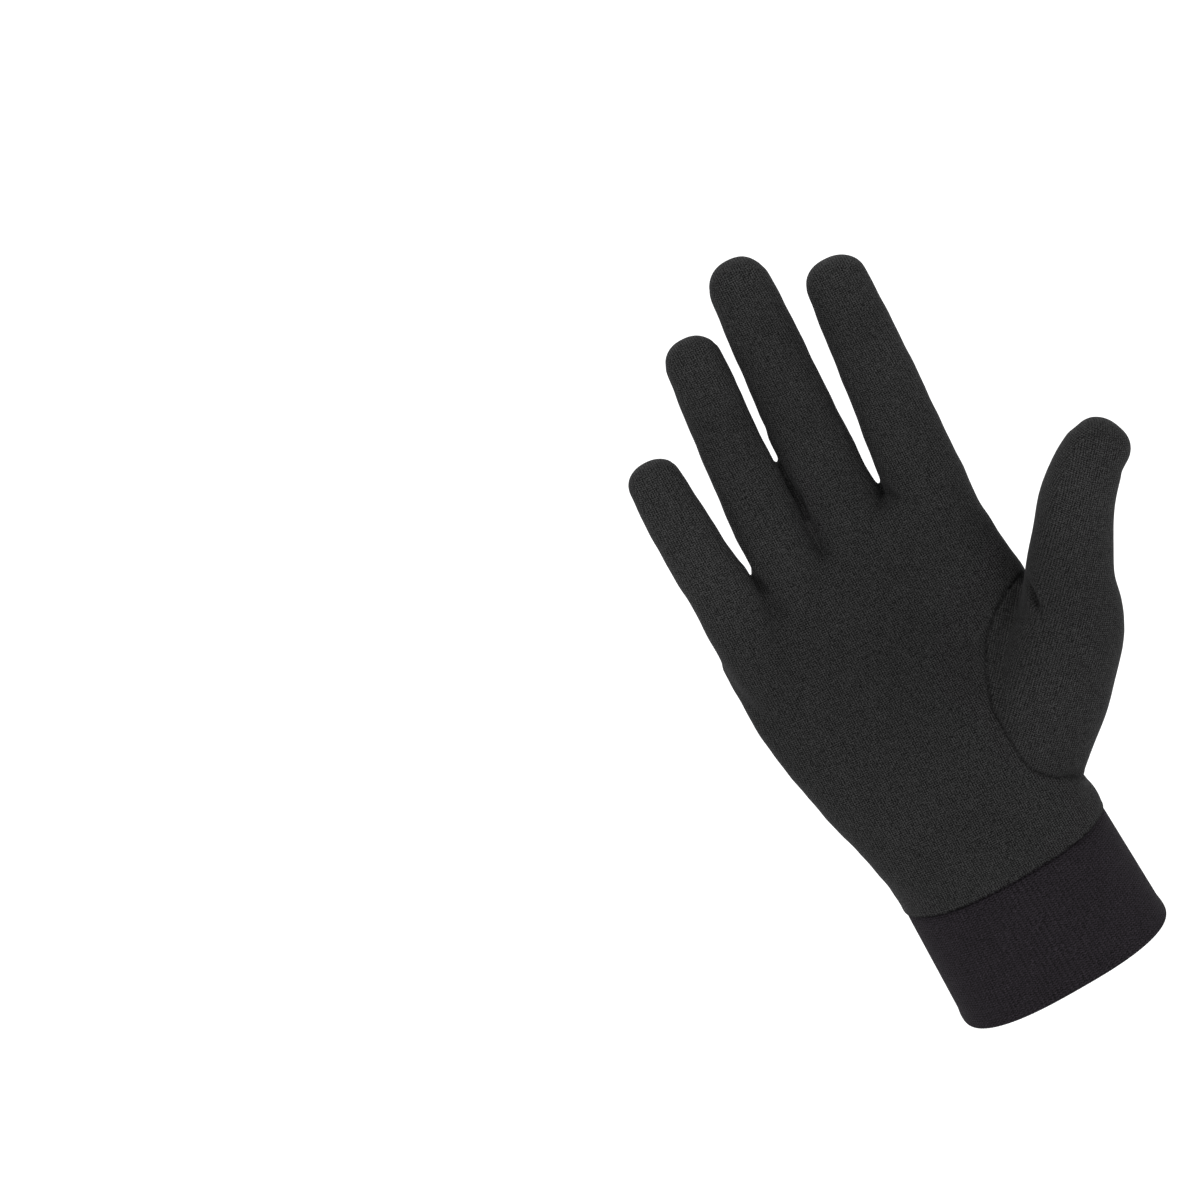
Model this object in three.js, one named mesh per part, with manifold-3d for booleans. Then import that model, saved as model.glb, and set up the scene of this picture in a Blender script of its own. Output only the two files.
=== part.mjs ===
// A knitted glove liner for the right hand, filled out as it is when worn.
//
// The frame is in millimetres. The origin is the middle of the wrist opening and +Z runs up the cuff
// towards the fingers. The palm faces -Y, the back of the hand +Y, and the thumb is on the +X side.
//
// It is sewn from six pieces: a ribbed cuff, the hand (palm and back cut in one), a thumb set into an
// oval hole, and three gussets, the fourchettes, that line the sides of neighbouring fingers.
import * as THREE from "three";
import { mergeVertices } from "three/addons/utils/BufferGeometryUtils.js";
import Module from "manifold-3d";

// Driving dimensions of the cuff
const CUFF_LENGTH = 41;
const CUFF_WIDTH = 67;
const CUFF_DEPTH = 44;
const CUFF_WALL = 2; // two layers of rib
const CUFF_TAPER = 1.6; // how much narrower the cuff is at its seam than at its hem
const CUFF_SLANT = 0.8; // how far its top stands towards the little finger's side
const HEM_SWELL = 0.3; // the folded edge stands this far proud
const SEAM_PINCH = 0.8; // the seam draws the top of the cuff in by this much

// Driving dimensions of the digits, each length from its own crotch to its tip
const INDEX_LENGTH = 71;
const INDEX_WIDTH = 20.6;
const MIDDLE_LENGTH = 85.5;
const MIDDLE_WIDTH = 20.8;
const RING_LENGTH = 74;
const RING_WIDTH = 18.9;
const LITTLE_LENGTH = 55;
const LITTLE_WIDTH = 17.5;
const FINGER_FLATNESS = 0.84; // depth of a finger over its width
const THUMB_LENGTH = 52;
const THUMB_WIDTH = 24;
const THUMB_FLATNESS = 0.88;
const THUMB_FORWARD = 15; // how far the thumb stands in front of the hand's middle surface

// Driving dimensions of the hand
const PALM_LENGTH = 109; // from the cuff seam to the crotch between index and middle finger
const PALM_DEPTH = 31;
const KNUCKLE_SWELL = 1.176; // the palm's width over the widths of the four fingers
const HAND_WALL = 1; // fine jersey
const WRIST_LEAN = 12; // degrees, the hand is bent back at the wrist
const WRIST_BEND = 20; // length over which it bends
const FINGER_CURL = 12; // degrees, what the lean loses again along the longest finger

// Where the fingers stand at their crotches: the middle finger from the middle of the wrist, as a
// share of the palm's width, the others from their neighbours, as shares of the two mean widths
const MIDDLE_ACROSS = 0.081;
const INDEX_SPREAD = 1.211;
const RING_SPREAD = 1.115;
const LITTLE_SPREAD = 1.156;

// Driving dimensions of the seams
const SEAM_GAP = 0.3; // between two pieces at their seam
const LAP = 2.5; // the hand is sewn over the top of the cuff by this much
const FOURCHETTE_WIDTH = 11; // of a gusset at the crotch
const FOURCHETTE_POINT = 2.4; // of a gusset at the fingertips

// Roundness: a section's power is 2 for an ellipse and more for a squarer one
const WRIST_POWER = 2.2;
const KNUCKLE_POWER = 2.7;
const HOLLOW_SPREAD = 0.5; // half-width of the hollow of the palm, a share of the palm's
const TIP_POWER = 0.85; // how fast a fingertip narrows, less is blunter
const TIP_FULLNESS = 0.97; // how far round its end goes before it is closed flat

// How finely the cloth is faceted
const PALM_SIDES = 36;
const FINGER_SIDES = 16;
const THUMB_SIDES = 22;
const THUMB_STEPS = 9;
const TIP_STEPS = 3;
const HEM_STEPS = 4;
const SEAM_STEPS = 2; // along each row of the thumb's seam

const MERGE = 1e-4; // points nearer than this are one
const DEGREE = Math.PI / 180;
const HAND_BOTTOM = CUFF_LENGTH - LAP;
const PALM_WIDTH = KNUCKLE_SWELL * (INDEX_WIDTH + MIDDLE_WIDTH + RING_WIDTH + LITTLE_WIDTH);
const REACH = 3 * PALM_WIDTH; // further than any piece goes

const wasm = await Module();
wasm.setup();

// Solids

function solid(geometry) {
  const bare = geometry.clone();
  bare.deleteAttribute("normal");
  bare.deleteAttribute("uv");
  const merged = mergeVertices(bare, MERGE);
  return new wasm.Manifold(
    new wasm.Mesh({
      numProp: 3,
      vertProperties: new Float32Array(merged.attributes.position.array),
      triVerts: new Uint32Array(merged.index.array),
    }),
  );
}

function geometryOf(made) {
  const mesh = made.getMesh();
  const geometry = new THREE.BufferGeometry();
  geometry.setAttribute("position", new THREE.BufferAttribute(mesh.vertProperties, 3));
  geometry.setIndex(new THREE.BufferAttribute(mesh.triVerts, 1));
  const faceted = geometry.toNonIndexed();
  faceted.computeVertexNormals();
  return faceted;
}

function surface(points, faces) {
  const geometry = new THREE.BufferGeometry();
  const flat = points.flatMap((p) => [p.x, p.y, p.z]);
  geometry.setAttribute("position", new THREE.Float32BufferAttribute(flat, 3));
  geometry.setIndex(faces);
  return solid(geometry);
}

// Faces between rings of equally many points, anticlockwise seen from the last ring.
function ringFaces(rings, sides, closed) {
  const faces = [];
  const last = closed ? rings : rings - 1;
  for (let r = 0; r < last; r += 1) {
    const next = (r + 1) % rings;
    for (let s = 0; s < sides; s += 1) {
      const t = (s + 1) % sides;
      faces.push(r * sides + s, r * sides + t, next * sides + t);
      faces.push(r * sides + s, next * sides + t, next * sides + s);
    }
  }
  return faces;
}

// A closed tube through rings, with a point at the middle of each end.
function loft(rings) {
  const sides = rings[0].length;
  const points = rings.flat();
  const faces = ringFaces(rings.length, sides, false);
  const middle = (ring) =>
    ring.reduce((sum, p) => sum.add(p), new THREE.Vector3()).divideScalar(sides);
  const first = points.push(middle(rings[0])) - 1;
  const last = points.push(middle(rings[rings.length - 1])) - 1;
  const top = (rings.length - 1) * sides;
  for (let s = 0; s < sides; s += 1) {
    const t = (s + 1) % sides;
    faces.push(first, t, s);
    faces.push(last, top + s, top + t);
  }
  return surface(points, faces);
}

// One cross-section of cloth over a hand: half as wide as `half`, `front` deep towards the palm and
// `back` deep towards the back, squarer as `power` rises, and hollowed in the middle of the palm.
function section({ at, side, up, half, front, back, power = WRIST_POWER, hollow = 0, sides }) {
  const ring = [];
  for (let i = 0; i < sides; i += 1) {
    const angle = (2 * Math.PI * i) / sides;
    const rounded = (c) => Math.sign(c) * Math.abs(c) ** (2 / power);
    const across = rounded(Math.cos(angle));
    const deep = rounded(Math.sin(angle));
    const dish = deep < 0 ? 1 - hollow * Math.exp(-((across / HOLLOW_SPREAD) ** 2)) : 1;
    const depth = deep * dish * (deep < 0 ? front : back);
    ring.push(at.clone().addScaledVector(side, half * across).addScaledVector(up, depth));
  }
  return ring;
}

// The value at `share` in a table of rows that rise in `share`, smooth between them.
function along(rows, share, column) {
  let i = rows.findIndex((row) => row.share > share) - 1;
  if (i < -1) i = rows.length - 2;
  i = Math.max(i, 0);
  const [a, b] = [rows[i], rows[i + 1]];
  const before = rows[Math.max(i - 1, 0)];
  const after = rows[Math.min(i + 2, rows.length - 1)];
  const span = b.share - a.share;
  const t = (share - a.share) / span;
  const slope = (p, q) => (q === p ? 0 : (q[column] - p[column]) / (q.share - p.share));
  const [m, n] = [slope(before, b) * span, slope(a, after) * span];
  const [t2, t3] = [t * t, t * t * t];
  return (
    (2 * t3 - 3 * t2 + 1) * a[column] +
    (t3 - 2 * t2 + t) * m +
    (3 * t2 - 2 * t3) * b[column] +
    (t3 - t2) * n
  );
}

// The hand's middle surface leans back above the cuff, and the fingers curl forward out of the lean.

const KNUCKLES = CUFF_LENGTH + PALM_LENGTH;
const TOP = KNUCKLES + MIDDLE_LENGTH;

function middleY(z) {
  const slope = Math.tan(WRIST_LEAN * DEGREE);
  const into = Math.min(Math.max(z - CUFF_LENGTH, 0), WRIST_BEND);
  const past = Math.max(z - CUFF_LENGTH - WRIST_BEND, 0);
  const up = Math.max(z - KNUCKLES, 0);
  const lost = slope - Math.tan((WRIST_LEAN - FINGER_CURL) * DEGREE);
  return slope * (into ** 2 / (2 * WRIST_BEND) + past) - (lost * up ** 2) / (2 * (TOP - KNUCKLES));
}

// Cuff

const SEAM_WIDTH = CUFF_WIDTH - CUFF_TAPER;

function cuffRing(z, inset) {
  const half = THREE.MathUtils.lerp(CUFF_WIDTH, SEAM_WIDTH, z / CUFF_LENGTH) / 2 - inset;
  const deep = (CUFF_DEPTH - (CUFF_TAPER * z) / CUFF_LENGTH) / 2 - inset;
  return section({
    at: new THREE.Vector3((-CUFF_SLANT * z) / CUFF_LENGTH, 0, z),
    side: new THREE.Vector3(1, 0, 0),
    up: new THREE.Vector3(0, 1, 0),
    half,
    front: deep,
    back: deep,
    sides: PALM_SIDES,
  });
}

// A band of two layers: its hem is the fold, its top the raw edge under the hand.
function cuff() {
  const round = CUFF_WALL / 2 + HEM_SWELL;
  const rings = [];
  for (let step = 0; step <= HEM_STEPS; step += 1) {
    const angle = (Math.PI * step) / HEM_STEPS;
    const inset = CUFF_WALL / 2 + round * Math.cos(angle);
    rings.push(cuffRing(round * (1 - Math.sin(angle)), inset));
  }
  const sides = [
    { z: 3 * round, pinch: 0 },
    { z: CUFF_LENGTH / 2, pinch: 0 },
    { z: HAND_BOTTOM - 2 * SEAM_PINCH, pinch: 0 },
    { z: HAND_BOTTOM, pinch: SEAM_PINCH },
    { z: CUFF_LENGTH, pinch: SEAM_PINCH },
  ];
  sides.forEach(({ z, pinch }) => rings.push(cuffRing(z, pinch)));
  sides.reverse().forEach(({ z, pinch }) => rings.push(cuffRing(z, pinch + CUFF_WALL)));
  return surface(rings.flat(), ringFaces(rings.length, PALM_SIDES, true));
}

// Palm and back of the hand
//
// Each row is a section at a share of PALM_LENGTH above the cuff seam. `ulnar` and `radial` are shares
// of PALM_WIDTH to the little finger's side and the thumb's side, `front` and `back` of PALM_DEPTH,
// and `tilt` the degrees by which the knuckles fall towards the little finger.

const PALM = [
  { share: 0.08, ulnar: 0.378, radial: 0.345, front: 0.7, back: 0.67, hollow: 0, tilt: 0 },
  { share: 0.17, ulnar: 0.4, radial: 0.36, front: 0.64, back: 0.6, hollow: 0.03, tilt: 0 },
  { share: 0.3, ulnar: 0.441, radial: 0.4, front: 0.58, back: 0.55, hollow: 0.1, tilt: 0 },
  { share: 0.45, ulnar: 0.48, radial: 0.444, front: 0.53, back: 0.51, hollow: 0.15, tilt: 0 },
  { share: 0.6, ulnar: 0.502, radial: 0.48, front: 0.49, back: 0.48, hollow: 0.12, tilt: 2 },
  { share: 0.73, ulnar: 0.496, radial: 0.484, front: 0.45, back: 0.45, hollow: 0.06, tilt: 5 },
  { share: 0.83, ulnar: 0.462, radial: 0.468, front: 0.41, back: 0.42, hollow: 0.02, tilt: 9 },
  { share: 0.9, ulnar: 0.4, radial: 0.44, front: 0.36, back: 0.38, hollow: 0, tilt: 12 },
  { share: 0.97, ulnar: 0.24, radial: 0.37, front: 0.28, back: 0.3, hollow: 0, tilt: 12 },
];

function palmRing(row, inset) {
  const z = CUFF_LENGTH + row.share * PALM_LENGTH;
  const [ulnar, radial] = [row.ulnar * PALM_WIDTH, row.radial * PALM_WIDTH];
  return section({
    at: new THREE.Vector3((radial - ulnar) / 2, middleY(z), z),
    side: new THREE.Vector3(Math.cos(row.tilt * DEGREE), 0, Math.sin(row.tilt * DEGREE)),
    up: new THREE.Vector3(0, 1, 0),
    half: (radial + ulnar) / 2 - inset,
    front: row.front * PALM_DEPTH - inset,
    back: row.back * PALM_DEPTH - inset,
    power: THREE.MathUtils.lerp(WRIST_POWER, KNUCKLE_POWER, row.share),
    hollow: row.hollow,
    sides: PALM_SIDES,
  });
}

// The lower edge stands round the top of the cuff, a seam's gap outside it.
function lapRing(z, inset) {
  return cuffRing(z, SEAM_PINCH - SEAM_GAP - HAND_WALL + inset);
}

// What is taken out of the inside runs on past the edge, which leaves the wrist open.
function palm(inset) {
  const edge = inset > 0 ? HAND_BOTTOM - LAP : HAND_BOTTOM;
  const lap = [lapRing(edge, inset), lapRing(CUFF_LENGTH + LAP / 2, inset)];
  return loft([...lap, ...PALM.map((row) => palmRing(row, inset))]);
}

// Fingers
//
// `drop` is how far a finger's crotch lies below that of the index finger, a share of PALM_LENGTH,
// `arch` how far its knuckle stands behind the hand's middle surface, a share of PALM_DEPTH, and
// `splay` its tilt towards the thumb in degrees.

const MIDDLE_AT = MIDDLE_ACROSS * PALM_WIDTH;
const INDEX_AT = MIDDLE_AT + (INDEX_SPREAD * (INDEX_WIDTH + MIDDLE_WIDTH)) / 2;
const RING_AT = MIDDLE_AT - (RING_SPREAD * (MIDDLE_WIDTH + RING_WIDTH)) / 2;
const LITTLE_AT = RING_AT - (LITTLE_SPREAD * (RING_WIDTH + LITTLE_WIDTH)) / 2;

const finger = (length, width, at, { drop, arch, splay }) => ({ length, width, at, drop, arch, splay });
const INDEX = finger(INDEX_LENGTH, INDEX_WIDTH, INDEX_AT, { drop: 0, arch: -0.01, splay: 5.2 });
const MIDDLE = finger(MIDDLE_LENGTH, MIDDLE_WIDTH, MIDDLE_AT, { drop: 0.01, arch: 0.05, splay: 3.6 });
const RING = finger(RING_LENGTH, RING_WIDTH, RING_AT, { drop: 0.035, arch: 0.02, splay: 3.8 });
const LITTLE = finger(LITTLE_LENGTH, LITTLE_WIDTH, LITTLE_AT, { drop: 0.11, arch: -0.08, splay: -1.2 });

// The outline of every finger: `share` of its length above the crotch, `wide` and `deep` as shares of
// its width and depth. Below the crotch it swells and sinks into the palm.
const FINGER_OUTLINE = [
  { share: -0.5, wide: 0.9, deep: 1.0 },
  { share: -0.26, wide: 1.1, deep: 1.3 },
  { share: -0.06, wide: 1.2, deep: 1.36 },
  { share: 0.1, wide: 1.15, deep: 1.18 },
  { share: 0.3, wide: 1.03, deep: 1.04 },
  { share: 0.55, wide: 1.0, deep: 1.0 },
  { share: 0.75, wide: 0.95, deep: 0.93 },
  { share: 0.88, wide: 0.9, deep: 0.84 },
];
const TIP_SHARE = 0.88; // where the rounded tip begins

function fingerPoint(finger, share) {
  const crotch = KNUCKLES - finger.drop * PALM_LENGTH;
  const rise = share * finger.length;
  const z = crotch + rise;
  const x = finger.at + rise * Math.tan(finger.splay * DEGREE);
  return new THREE.Vector3(x, middleY(z) + finger.arch * PALM_DEPTH, z);
}

// Directions along, across and through a digit whose middle line is `point`.
function frameAt(point, share) {
  const step = 0.01;
  const tangent = point(share + step).sub(point(share - step)).normalize();
  const side = new THREE.Vector3(1, 0, 0).addScaledVector(tangent, -tangent.x).normalize();
  return { tangent, side, up: new THREE.Vector3().crossVectors(tangent, side) };
}

// A rounded end that goes `reach` past `share`, in rings that shrink to nearly nothing.
function tipRings(point, share, reach, size, inset, sides) {
  const rings = [];
  for (let step = 1; step <= TIP_STEPS; step += 1) {
    const angle = (step / TIP_STEPS) * TIP_FULLNESS * (Math.PI / 2);
    const frame = frameAt(point, share);
    const at = point(share).addScaledVector(frame.tangent, (reach - inset) * Math.sin(angle));
    const shrink = Math.cos(angle) ** TIP_POWER;
    rings.push(
      section({
        at,
        side: frame.side,
        up: frame.up,
        half: (size.half - inset) * shrink,
        front: (size.front - inset) * shrink,
        back: (size.back - inset) * shrink,
        sides,
      }),
    );
  }
  return rings;
}

function fingerSize(finger, share) {
  const half = (finger.width * along(FINGER_OUTLINE, share, "wide")) / 2;
  const deep = (finger.width * FINGER_FLATNESS * along(FINGER_OUTLINE, share, "deep")) / 2;
  return { half, front: deep, back: deep };
}

function fingerLoft(finger, inset) {
  const point = (share) => fingerPoint(finger, share);
  const rings = FINGER_OUTLINE.map(({ share }) => {
    const { side, up } = frameAt(point, share);
    const size = fingerSize(finger, share);
    return section({
      at: point(share),
      side,
      up,
      half: size.half - inset,
      front: size.front - inset,
      back: size.back - inset,
      sides: FINGER_SIDES,
    });
  });
  const reach = (1 - TIP_SHARE) * finger.length;
  const size = fingerSize(finger, TIP_SHARE);
  rings.push(...tipRings(point, TIP_SHARE, reach, size, inset, FINGER_SIDES));
  return loft(rings);
}

// Thumb
//
// The middle line and the outline together, from inside the heel of the hand at share 0. `across`
// and `up` are shares of PALM_WIDTH and PALM_LENGTH from the middle of the cuff seam; past the crotch
// `out` and `rise`, shares of THUMB_LENGTH, are added to them. `forward` is a share of THUMB_FORWARD,
// `wide` and `deep` are shares of the thumb's own size.

const THUMB = [
  { share: 0, across: 0.218, up: 0.203, out: 0, rise: 0, forward: 0.15, wide: 1.28, deep: 1.3 },
  { share: 0.144, across: 0.339, up: 0.312, out: 0, rise: 0, forward: 0.32, wide: 1.48, deep: 1.46 },
  { share: 0.314, across: 0.472, up: 0.433, out: 0, rise: 0, forward: 0.55, wide: 1.45, deep: 1.42 },
  { share: 0.415, across: 0.55, up: 0.51, out: 0, rise: 0, forward: 0.72, wide: 1.34, deep: 1.3 },
  { share: 0.518, across: 0.603, up: 0.604, out: 0, rise: 0, forward: 0.87, wide: 1.14, deep: 1.12 },
  { share: 0.633, across: 0.603, up: 0.604, out: 0.127, rise: 0.2, forward: 0.95, wide: 1.01, deep: 1.02 },
  { share: 0.761, across: 0.603, up: 0.604, out: 0.28, rise: 0.412, forward: 1, wide: 0.93, deep: 0.95 },
  { share: 0.88, across: 0.603, up: 0.604, out: 0.442, rise: 0.562, forward: 1, wide: 0.83, deep: 0.84 },
  { share: 0.925, across: 0.603, up: 0.604, out: 0.523, rise: 0.603, forward: 1, wide: 0.76, deep: 0.76 },
];
const THUMB_TIP_SHARE = 0.925; // where the rounded tip begins
const THUMB_TIP_REACH = 0.156; // how far it goes on, a share of THUMB_LENGTH

function thumbPoint(share) {
  const at = (column) => along(THUMB, share, column);
  const x = at("across") * PALM_WIDTH + at("out") * THUMB_LENGTH;
  const z = CUFF_LENGTH + at("up") * PALM_LENGTH + at("rise") * THUMB_LENGTH;
  return new THREE.Vector3(x, middleY(z) - at("forward") * THUMB_FORWARD, z);
}

function thumbLoft(inset) {
  const size = (share) => {
    const half = (THUMB_WIDTH * along(THUMB, share, "wide")) / 2;
    const deep = (THUMB_WIDTH * THUMB_FLATNESS * along(THUMB, share, "deep")) / 2;
    return { half, front: deep, back: deep };
  };
  const rings = [];
  for (let step = 0; step <= THUMB_STEPS; step += 1) {
    const share = (THUMB_TIP_SHARE * step) / THUMB_STEPS;
    const { side, up } = frameAt(thumbPoint, share);
    const { half, front, back } = size(share);
    rings.push(
      section({
        at: thumbPoint(share),
        side,
        up,
        half: half - inset,
        front: front - inset,
        back: back - inset,
        sides: THUMB_SIDES,
      }),
    );
  }
  const reach = THUMB_TIP_REACH * THUMB_LENGTH;
  const tip = tipRings(thumbPoint, THUMB_TIP_SHARE, reach, size(THUMB_TIP_SHARE), inset, THUMB_SIDES);
  rings.push(...tip);
  return loft(rings);
}

// The whole hand as one skin, open at the wrist

function filled(inset) {
  const digits = [INDEX, MIDDLE, RING, LITTLE].map((finger) => fingerLoft(finger, inset));
  const whole = [...digits, thumbLoft(inset)].reduce((sum, part) => sum.add(part), palm(inset));
  // A pocket shut in between two fingers' roots is filled, since cloth has none there.
  return wasm.Manifold.union(whole.decompose().filter((body) => body.volume() > 0));
}

const skin = filled(0).subtract(filled(HAND_WALL));

// The thumb's seam is a closed loop round its root. `across` and `up` are shares of PALM_WIDTH and
// PALM_LENGTH from the middle of the cuff seam, `out` of PALM_DEPTH from the middle surface, towards
// the palm where it is negative. The cut runs out from HEART, a point inside the hand, through them.

const HEART = { across: 0.12, up: 0.38, out: 0.15 };
const THUMB_SEAM = [
  { across: 0.497, up: 0.643, out: -0.05 },
  { across: 0.469, up: 0.665, out: -0.25 },
  { across: 0.415, up: 0.667, out: -0.4 },
  { across: 0.345, up: 0.632, out: -0.47 },
  { across: 0.28, up: 0.573, out: -0.5 },
  { across: 0.207, up: 0.438, out: -0.53 },
  { across: 0.19, up: 0.335, out: -0.56 },
  { across: 0.207, up: 0.247, out: -0.6 },
  { across: 0.26, up: 0.186, out: -0.62 },
  { across: 0.326, up: 0.149, out: -0.45 },
  { across: 0.349, up: 0.111, out: -0.15 },
  { across: 0.35, up: 0.11, out: 0.12 },
  { across: 0.35, up: 0.17, out: 0.36 },
  { across: 0.37, up: 0.28, out: 0.42 },
  { across: 0.41, up: 0.4, out: 0.4 },
  { across: 0.455, up: 0.52, out: 0.3 },
  { across: 0.49, up: 0.61, out: 0.14 },
];

// Beyond the crotch a plane parts the thumb from the hand: `across` is where it stands at each height,
// a share of the way to the outer edge of the index finger's root, and `up` a share of PALM_LENGTH.
const INDEX_EDGE = INDEX_AT + 0.6 * INDEX_WIDTH;
const CROTCH_PLANE = [
  { across: 1.03, up: 0.45 },
  { across: 1.03, up: 0.65 },
  { across: 1.059, up: 0.74 },
  { across: 1.082, up: 1.2 },
];

function handPoint({ across, up, out }) {
  const z = CUFF_LENGTH + up * PALM_LENGTH;
  return new THREE.Vector3(across * PALM_WIDTH, middleY(z) + out * PALM_DEPTH, z);
}

// A fan of faces from HEART through the loop, grown outwards by `gap`.
function thumbCone(gap) {
  const heart = handPoint(HEART);
  const loop = THUMB_SEAM.map(handPoint);
  const centre = loop.reduce((sum, p) => sum.add(p), new THREE.Vector3()).divideScalar(loop.length);
  const curve = new THREE.CatmullRomCurve3(loop, true, "centripetal");
  const rim = curve.getPoints(SEAM_STEPS * loop.length).slice(0, -1);
  const reach = (p) => heart.clone().addScaledVector(p.clone().sub(heart).normalize(), REACH);
  const far = rim.map((p) => {
    const outward = p.clone().sub(centre).normalize();
    return reach(p.clone().addScaledVector(outward, gap));
  });
  const points = [heart, reach(centre), ...far];
  const faces = [];
  far.forEach((_, i) => {
    const [a, b] = [i + 2, ((i + 1) % far.length) + 2];
    faces.push(0, b, a, 1, a, b);
  });
  return surface(points, faces);
}

function thumbRegion(gap) {
  const outline = new THREE.Shape();
  CROTCH_PLANE.forEach(({ across, up }, i) => {
    const [x, z] = [across * INDEX_EDGE - gap, CUFF_LENGTH + up * PALM_LENGTH];
    if (i === 0) outline.moveTo(REACH, z);
    outline.lineTo(x, z);
    if (i === CROTCH_PLANE.length - 1) outline.lineTo(REACH, z);
  });
  const block = new THREE.ExtrudeGeometry(outline, { depth: 2 * REACH, bevelEnabled: false });
  block.rotateX(Math.PI / 2).translate(0, REACH, 0);
  return thumbCone(gap).add(solid(block));
}

// Fourchettes
//
// Each lines the facing sides of two fingers, from a point at the fingertips down round the crotch.
// `share` is of the finger's length above its crotch, `width` runs from FOURCHETTE_POINT at 0 to
// FOURCHETTE_WIDTH at 1, and where `web` is 1 the two legs join across the crotch.

const FOURCHETTES = [
  { name: "fourchette_index_middle", thumbward: INDEX, outward: MIDDLE },
  { name: "fourchette_middle_ring", thumbward: MIDDLE, outward: RING },
  { name: "fourchette_ring_little", thumbward: RING, outward: LITTLE },
];
const FOURCHETTE_OUTLINE = [
  { share: -0.12, width: 1, web: 1 },
  { share: 0.05, width: 1, web: 1 },
  { share: 0.3, width: 0.8, web: 0 },
  { share: 0.6, width: 0.55, web: 0 },
  { share: 0.93, width: 0, web: 0 },
];
const PAST_SKIN = 1.12; // a leg reaches this share of the finger's half-width

// The space round one side of a finger, from its middle line out past its skin. Its two ends and all
// its sides are grown by `gap`.
function fourchetteLeg(finger, neighbour, gap) {
  const point = (share) => fingerPoint(finger, share);
  const rings = FOURCHETTE_OUTLINE.map((row, i) => {
    const grown = { 0: -gap, [FOURCHETTE_OUTLINE.length - 1]: gap }[i] ?? 0;
    const share = row.share + grown / finger.length;
    const { side, up } = frameAt(point, share);
    const deep = THREE.MathUtils.lerp(FOURCHETTE_POINT, FOURCHETTE_WIDTH, row.width) / 2 + gap;
    const skinAt = PAST_SKIN * fingerSize(finger, share).half;
    const far = (row.web ? Math.abs(neighbour.at - finger.at) : skinAt) + gap;
    const corner = (across, depth) =>
      point(share).addScaledVector(side, across).addScaledVector(up, depth);
    const [near, out] = neighbour.at > finger.at ? [-gap, far] : [-far, gap];
    return [corner(near, -deep), corner(out, -deep), corner(out, deep), corner(near, deep)];
  });
  return loft(rings);
}

function fourchetteRegion({ thumbward, outward }, gap) {
  return fourchetteLeg(thumbward, outward, gap).add(fourchetteLeg(outward, thumbward, gap));
}

const material = (color, roughness) => new THREE.MeshStandardMaterial({ color, roughness, metalness: 0 });
const jersey = material(0x29282a, 0.9);
const rib = material(0x232125, 0.95);

const glove = new THREE.Group();
glove.name = "glove_liner";

function add(name, made, finish) {
  const mesh = new THREE.Mesh(geometryOf(made), finish);
  mesh.name = name;
  glove.add(mesh);
}

add("cuff", cuff(), rib);
const cuts = [thumbRegion(SEAM_GAP), ...FOURCHETTES.map((piece) => fourchetteRegion(piece, SEAM_GAP))];
add("hand", cuts.reduce((left, cut) => left.subtract(cut), skin), jersey);
add("thumb", skin.intersect(thumbRegion(0)), jersey);
FOURCHETTES.forEach((piece) => {
  add(piece.name, skin.intersect(fourchetteRegion(piece, 0)), jersey);
});

export default glove;
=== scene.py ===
import math

import bpy
import numpy as np
from mathutils import Matrix, Vector
from mathutils.kdtree import KDTree


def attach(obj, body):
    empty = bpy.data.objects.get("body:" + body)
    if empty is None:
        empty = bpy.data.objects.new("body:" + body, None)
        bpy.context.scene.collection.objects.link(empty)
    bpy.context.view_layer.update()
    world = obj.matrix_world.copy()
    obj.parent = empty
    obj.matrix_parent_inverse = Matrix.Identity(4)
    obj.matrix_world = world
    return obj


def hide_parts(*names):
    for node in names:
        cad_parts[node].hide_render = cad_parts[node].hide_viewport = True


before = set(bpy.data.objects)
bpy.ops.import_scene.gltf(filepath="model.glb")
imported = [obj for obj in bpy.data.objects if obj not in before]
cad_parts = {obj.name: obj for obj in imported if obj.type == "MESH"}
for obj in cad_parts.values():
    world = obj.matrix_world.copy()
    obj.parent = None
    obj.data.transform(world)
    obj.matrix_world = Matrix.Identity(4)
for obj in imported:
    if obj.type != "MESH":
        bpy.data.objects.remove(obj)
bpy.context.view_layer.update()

# A knitted glove liner for the right hand, filled out as it is when worn. Lengths are millimetres
# unless a comment says otherwise. The origin is the middle of the wrist opening, +Z runs up to the
# fingers, the palm faces -Y, and the thumb is on the +X side. The sizes are those of the solids in
# the frame.

MM = 0.001

CUFF_LENGTH = 41
CUFF_WIDTH = 67.6
CUFF_DEPTH = 44.6
CUFF_WALL = 2
# At its top the cuff is narrower by its taper, and stands to one side by its slant.
CUFF_TAPER = 2.2
CUFF_SLANT = 0.8
# The hem hangs lower by this share of the way to one side. It is thicker, and squarer by a share.
HEM_TILT = 0.014
HEM_SWELL = 0.3
HEM_SQUARE = 0.05
# Under the seam to the hand the cuff is pinched in, and laps up behind the hand's edge.
SEAM_PINCH = 0.8
LAP = 2.5
# The hand's lower edge stands where the photograph shows it, a little above the solid's.
HAND_BOTTOM = 40.3
HAND_WALL = 1
SEAM_GAP = 0.3
# The cuff swells out of its seam over this height.
CUFF_NECK = 1.6

PALM_LENGTH = 109
PALM_WIDTH = 91.5
PALM_DEPTH = 31
# The hand leans back and the fingers curl forward, in degrees, and the wrist bends over a length.
WRIST_LEAN = 12
FINGER_CURL = 12
WRIST_BEND = 20
FINGER_FLATNESS = 0.84
THUMB_LENGTH = 52
THUMB_WIDTH = 24
THUMB_FLATNESS = 0.88
THUMB_FORWARD = 15
KNUCKLES = CUFF_LENGTH + PALM_LENGTH

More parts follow.
